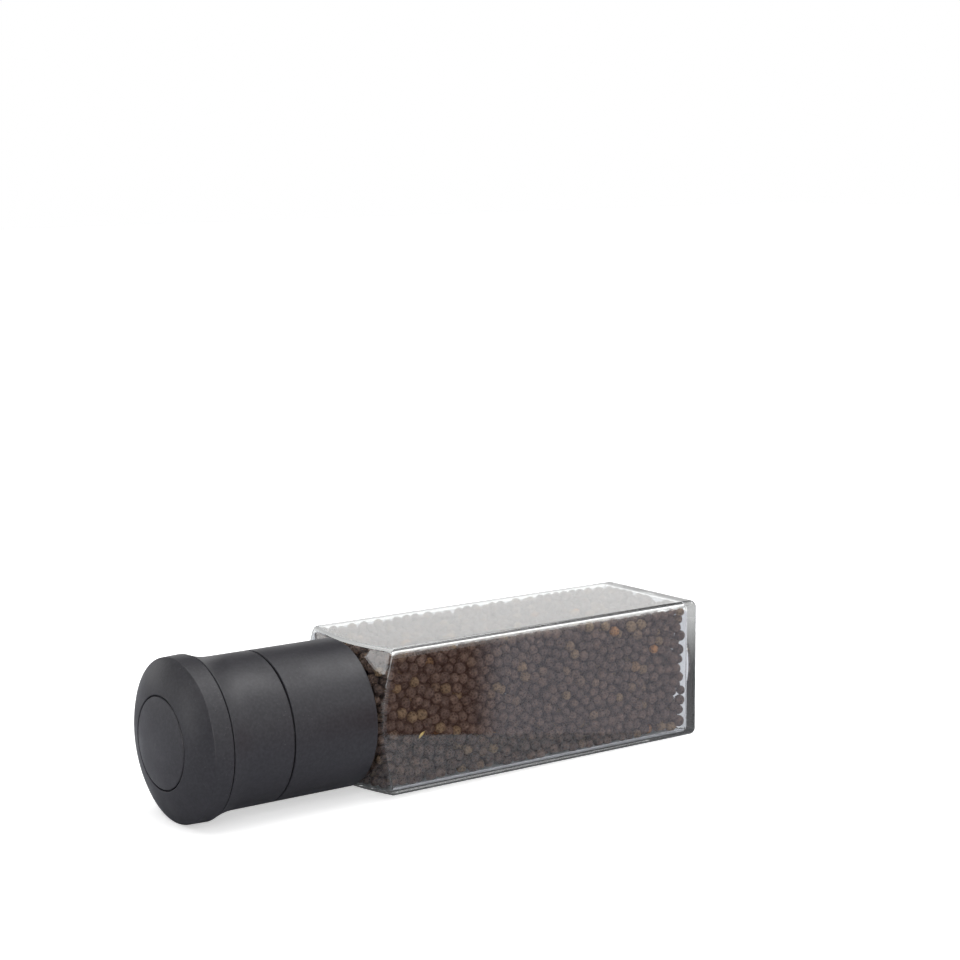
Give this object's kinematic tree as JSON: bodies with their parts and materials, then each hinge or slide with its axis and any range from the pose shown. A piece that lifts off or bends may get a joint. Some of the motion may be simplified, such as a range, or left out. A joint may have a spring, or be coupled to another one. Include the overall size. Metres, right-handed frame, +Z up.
{
  "type": "pepper mill",
  "caption": "Square glass pepper mill full of peppercorns, lying on its side, with a black turning grinding head, ceramic burrs and a domed pull-off lid.",
  "frame": {"origin": "on the table under the middle of the lying mill: bottom centre of its bounding box", "axes": "+Z up from the table, -X towards the grinding head and lid, +X towards the bottle's base; the mill lies on its bottle's heel and its lid's rim, so its axis rises 0.67 degrees to the head"},
  "size_m": [0.2302, 0.06, 0.06],
  "materials": {
    "bottle_glass": "gloss",
    "peppercorn": "matte",
    "soft_seal": "matte",
    "black_plastic": "satin",
    "burr_ceramic": "matte",
    "grey_plastic": "satin",
    "slip_nylon": "satin",
    "spring_steel": "satin",
    "screw_steel": "satin",
    "spindle_steel": "satin",
    "nut_brass": "satin",
    "disc_plastic": "satin"
  },
  "bodies": {
    "bottle": {"bottle": "bottle_glass", "peppercorns": "peppercorn"},
    "liner": {"sealing_liner": "soft_seal"},
    "head": {"head_base": "black_plastic", "ring_burr": "burr_ceramic", "burr_retainer": "grey_plastic", "slip_washer": "slip_nylon", "snap_ring": "spring_steel"},
    "collar": {"collar": "black_plastic", "bridge": "black_plastic", "bridge_screws": "screw_steel", "spring": "spring_steel"},
    "rotor": {"spindle": "spindle_steel", "spindle_clip": "spring_steel", "cone_burr": "burr_ceramic", "spring_washer": "spindle_steel"},
    "adjuster": {"adjuster_knob": "grey_plastic", "adjuster_nut": "nut_brass"},
    "lid": {"lid": "black_plastic", "lid_seal": "soft_seal", "lid_disc": "disc_plastic"}
  },
  "joints": [
    {"name": "head_lift", "type": "slide", "parent": "bottle", "child": "liner", "axis": [-0.9999, 0, 0.0117], "range_m": [0, 0.0101]},
    {"name": "head_unscrew", "type": "hinge", "parent": "liner", "child": "head", "pos_m": [-0.05119, 0, 0.02942], "axis": [-0.9999, 0, 0.0117], "range_deg": [0, 900]},
    {"name": "collar_turn", "type": "hinge", "parent": "head", "child": "collar", "pos_m": [-0.08019, 0, 0.02976], "axis": [-0.9999, 0, 0.0117], "continuous": true},
    {"name": "adjuster_turn", "type": "hinge", "parent": "collar", "child": "adjuster", "pos_m": [-0.09619, 0, 0.02995], "axis": [-0.9999, 0, 0.0117], "range_deg": [0, 510]},
    {"name": "cone_adjust", "type": "slide", "parent": "collar", "child": "rotor", "axis": [0.9999, 0, -0.0117], "range_m": [0, 0.00099]},
    {"name": "lid_lift", "type": "slide", "parent": "collar", "child": "lid", "axis": [-0.9999, 0, 0.0117], "range_m": [0, 0.04]}
  ],
  "couplings": [
    {"joint": "head_lift", "follows": "head_unscrew", "m_per_rad": 0.00063662},
    {"joint": "adjuster_turn", "follows": "cone_adjust", "rad_per_m": 8976}
  ]
}
